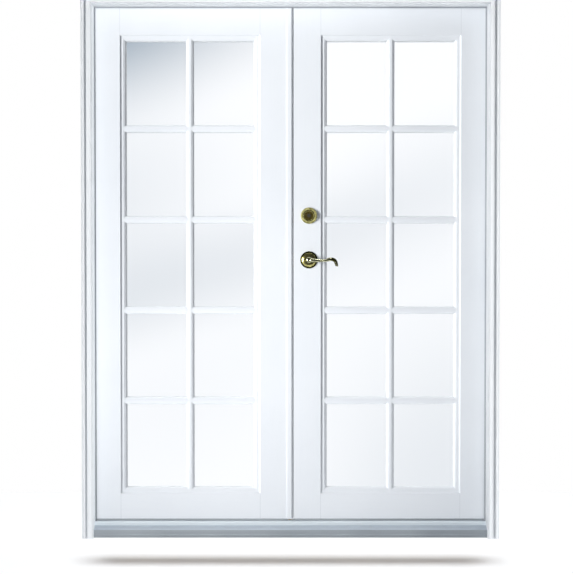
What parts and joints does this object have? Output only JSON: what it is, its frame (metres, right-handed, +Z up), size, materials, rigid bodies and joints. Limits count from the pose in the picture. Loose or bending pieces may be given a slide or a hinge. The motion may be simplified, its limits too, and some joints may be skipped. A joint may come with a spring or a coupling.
{
  "type": "french doors",
  "caption": "Pair of hinged divided-light doors in a moulded frame with a sill; the leaves swing into the room, one with lever and deadbolt, the other held by flush bolts.",
  "frame": {"origin": "on the underside of the sill, in the middle of the opening's width and of the jamb's depth", "axes": "+X along the wall to the right seen from outside, +Y through the wall into the room, +Z up"},
  "size_m": [1.592, 0.2037, 2.0835],
  "materials": {
    "painted_wood": "satin white paint",
    "sill_wood": "sealed",
    "sill_metal": "mill grey",
    "cap": "satin",
    "seal": "matt",
    "pane_glass": "clear",
    "antique_brass": "polished, darkened in the hollows",
    "dark_brass": "aged",
    "hinge_brass": "satin",
    "lock_steel": "plated"
  },
  "bodies": {
    "frame": {"left_jamb": "painted_wood", "right_jamb": "painted_wood", "head_jamb": "painted_wood", "sill_base": "sill_wood", "sill_cover": "sill_metal", "threshold_cap": "cap", "left_casing": "painted_wood", "right_casing": "painted_wood", "head_casing": "painted_wood", "frame_weatherstrip": "seal", "left_jamb_hinge_plates": "hinge_brass", "right_jamb_hinge_plates": "hinge_brass", "left_hinge_pins": "hinge_brass", "right_hinge_pins": "hinge_brass", "head_bolt_strike": "hinge_brass", "sill_bolt_socket": "hinge_brass"},
    "passive_leaf": {"passive_hinge_stile": "painted_wood", "passive_meeting_stile": "painted_wood", "passive_top_rail": "painted_wood", "passive_bottom_rail": "painted_wood", "passive_upright_bars": "painted_wood", "passive_cross_bars": "painted_wood", "passive_panes": "pane_glass", "passive_glazing_beads": "painted_wood", "passive_hinge_plates": "hinge_brass", "passive_sweep": "seal", "astragal": "painted_wood", "astragal_seal": "seal", "latch_strike": "hinge_brass", "deadbolt_strike": "hinge_brass"},
    "active_leaf": {"active_hinge_stile": "painted_wood", "active_lock_stile": "painted_wood", "active_top_rail": "painted_wood", "active_bottom_rail": "painted_wood", "active_upright_bars": "painted_wood", "active_cross_bars": "painted_wood", "active_panes": "pane_glass", "active_glazing_beads": "painted_wood", "active_hinge_plates": "hinge_brass", "active_sweep": "seal", "latch_case": "lock_steel", "latch_faceplate": "hinge_brass", "deadbolt_case": "lock_steel", "deadbolt_faceplate": "hinge_brass", "outer_rose": "antique_brass", "inner_rose": "antique_brass", "deadbolt_collar": "antique_brass", "lock_cylinder": "dark_brass", "thumbturn_rose": "antique_brass"},
    "lever_set": {"outer_lever": "antique_brass", "inner_lever": "antique_brass", "lever_spindle": "lock_steel"},
    "latch": {"latch_bolt": "hinge_brass"},
    "deadbolt": {"deadbolt_bolt": "hinge_brass"},
    "thumbturn": {"thumbturn": "antique_brass", "thumbturn_tailpiece": "lock_steel"},
    "key_plug": {"key_plug": "dark_brass"},
    "top_flush_bolt": {"top_flush_bolt": "hinge_brass"},
    "bottom_flush_bolt": {"bottom_flush_bolt": "hinge_brass"}
  },
  "joints": [
    {"name": "passive_swing", "type": "hinge", "parent": "frame", "child": "passive_leaf", "pos_m": [-0.767, 0.0655, 0], "axis": [0, 0, 1], "range_deg": [0, 110]},
    {"name": "active_swing", "type": "hinge", "parent": "frame", "child": "active_leaf", "pos_m": [0.767, 0.0655, 0], "axis": [0, 0, -1], "range_deg": [0, 110]},
    {"name": "lever_turn", "type": "hinge", "parent": "active_leaf", "child": "lever_set", "pos_m": [0.07147, 0.03575, 1.07], "axis": [0, 1, 0], "range_deg": [0, 45], "stiffness_Nm_per_rad": 1, "springref_deg": -34.38},
    {"name": "latch_slide", "type": "slide", "parent": "active_leaf", "child": "latch", "axis": [-1, 0, 0], "range_m": [0, 0.0127]},
    {"name": "thumbturn_turn", "type": "hinge", "parent": "active_leaf", "child": "thumbturn", "pos_m": [0.07147, 0.03575, 1.241], "axis": [0, 1, 0], "range_deg": [0, 90]},
    {"name": "deadbolt_slide", "type": "slide", "parent": "active_leaf", "child": "deadbolt", "axis": [-1, 0, 0], "range_m": [0, 0.0254]},
    {"name": "key_plug_turn", "type": "hinge", "parent": "active_leaf", "child": "key_plug", "pos_m": [0.07147, 0.03575, 1.241], "axis": [0, 1, 0], "range_deg": [-90, 90]},
    {"name": "top_bolt_slide", "type": "slide", "parent": "passive_leaf", "child": "top_flush_bolt", "axis": [0, 0, 1], "range_m": [0, 0.019]},
    {"name": "bottom_bolt_slide", "type": "slide", "parent": "passive_leaf", "child": "bottom_flush_bolt", "axis": [0, 0, -1], "range_m": [0, 0.019]}
  ],
  "couplings": [
    {"joint": "thumbturn_turn", "follows": "deadbolt_slide", "rad_per_m": 61.842}
  ]
}
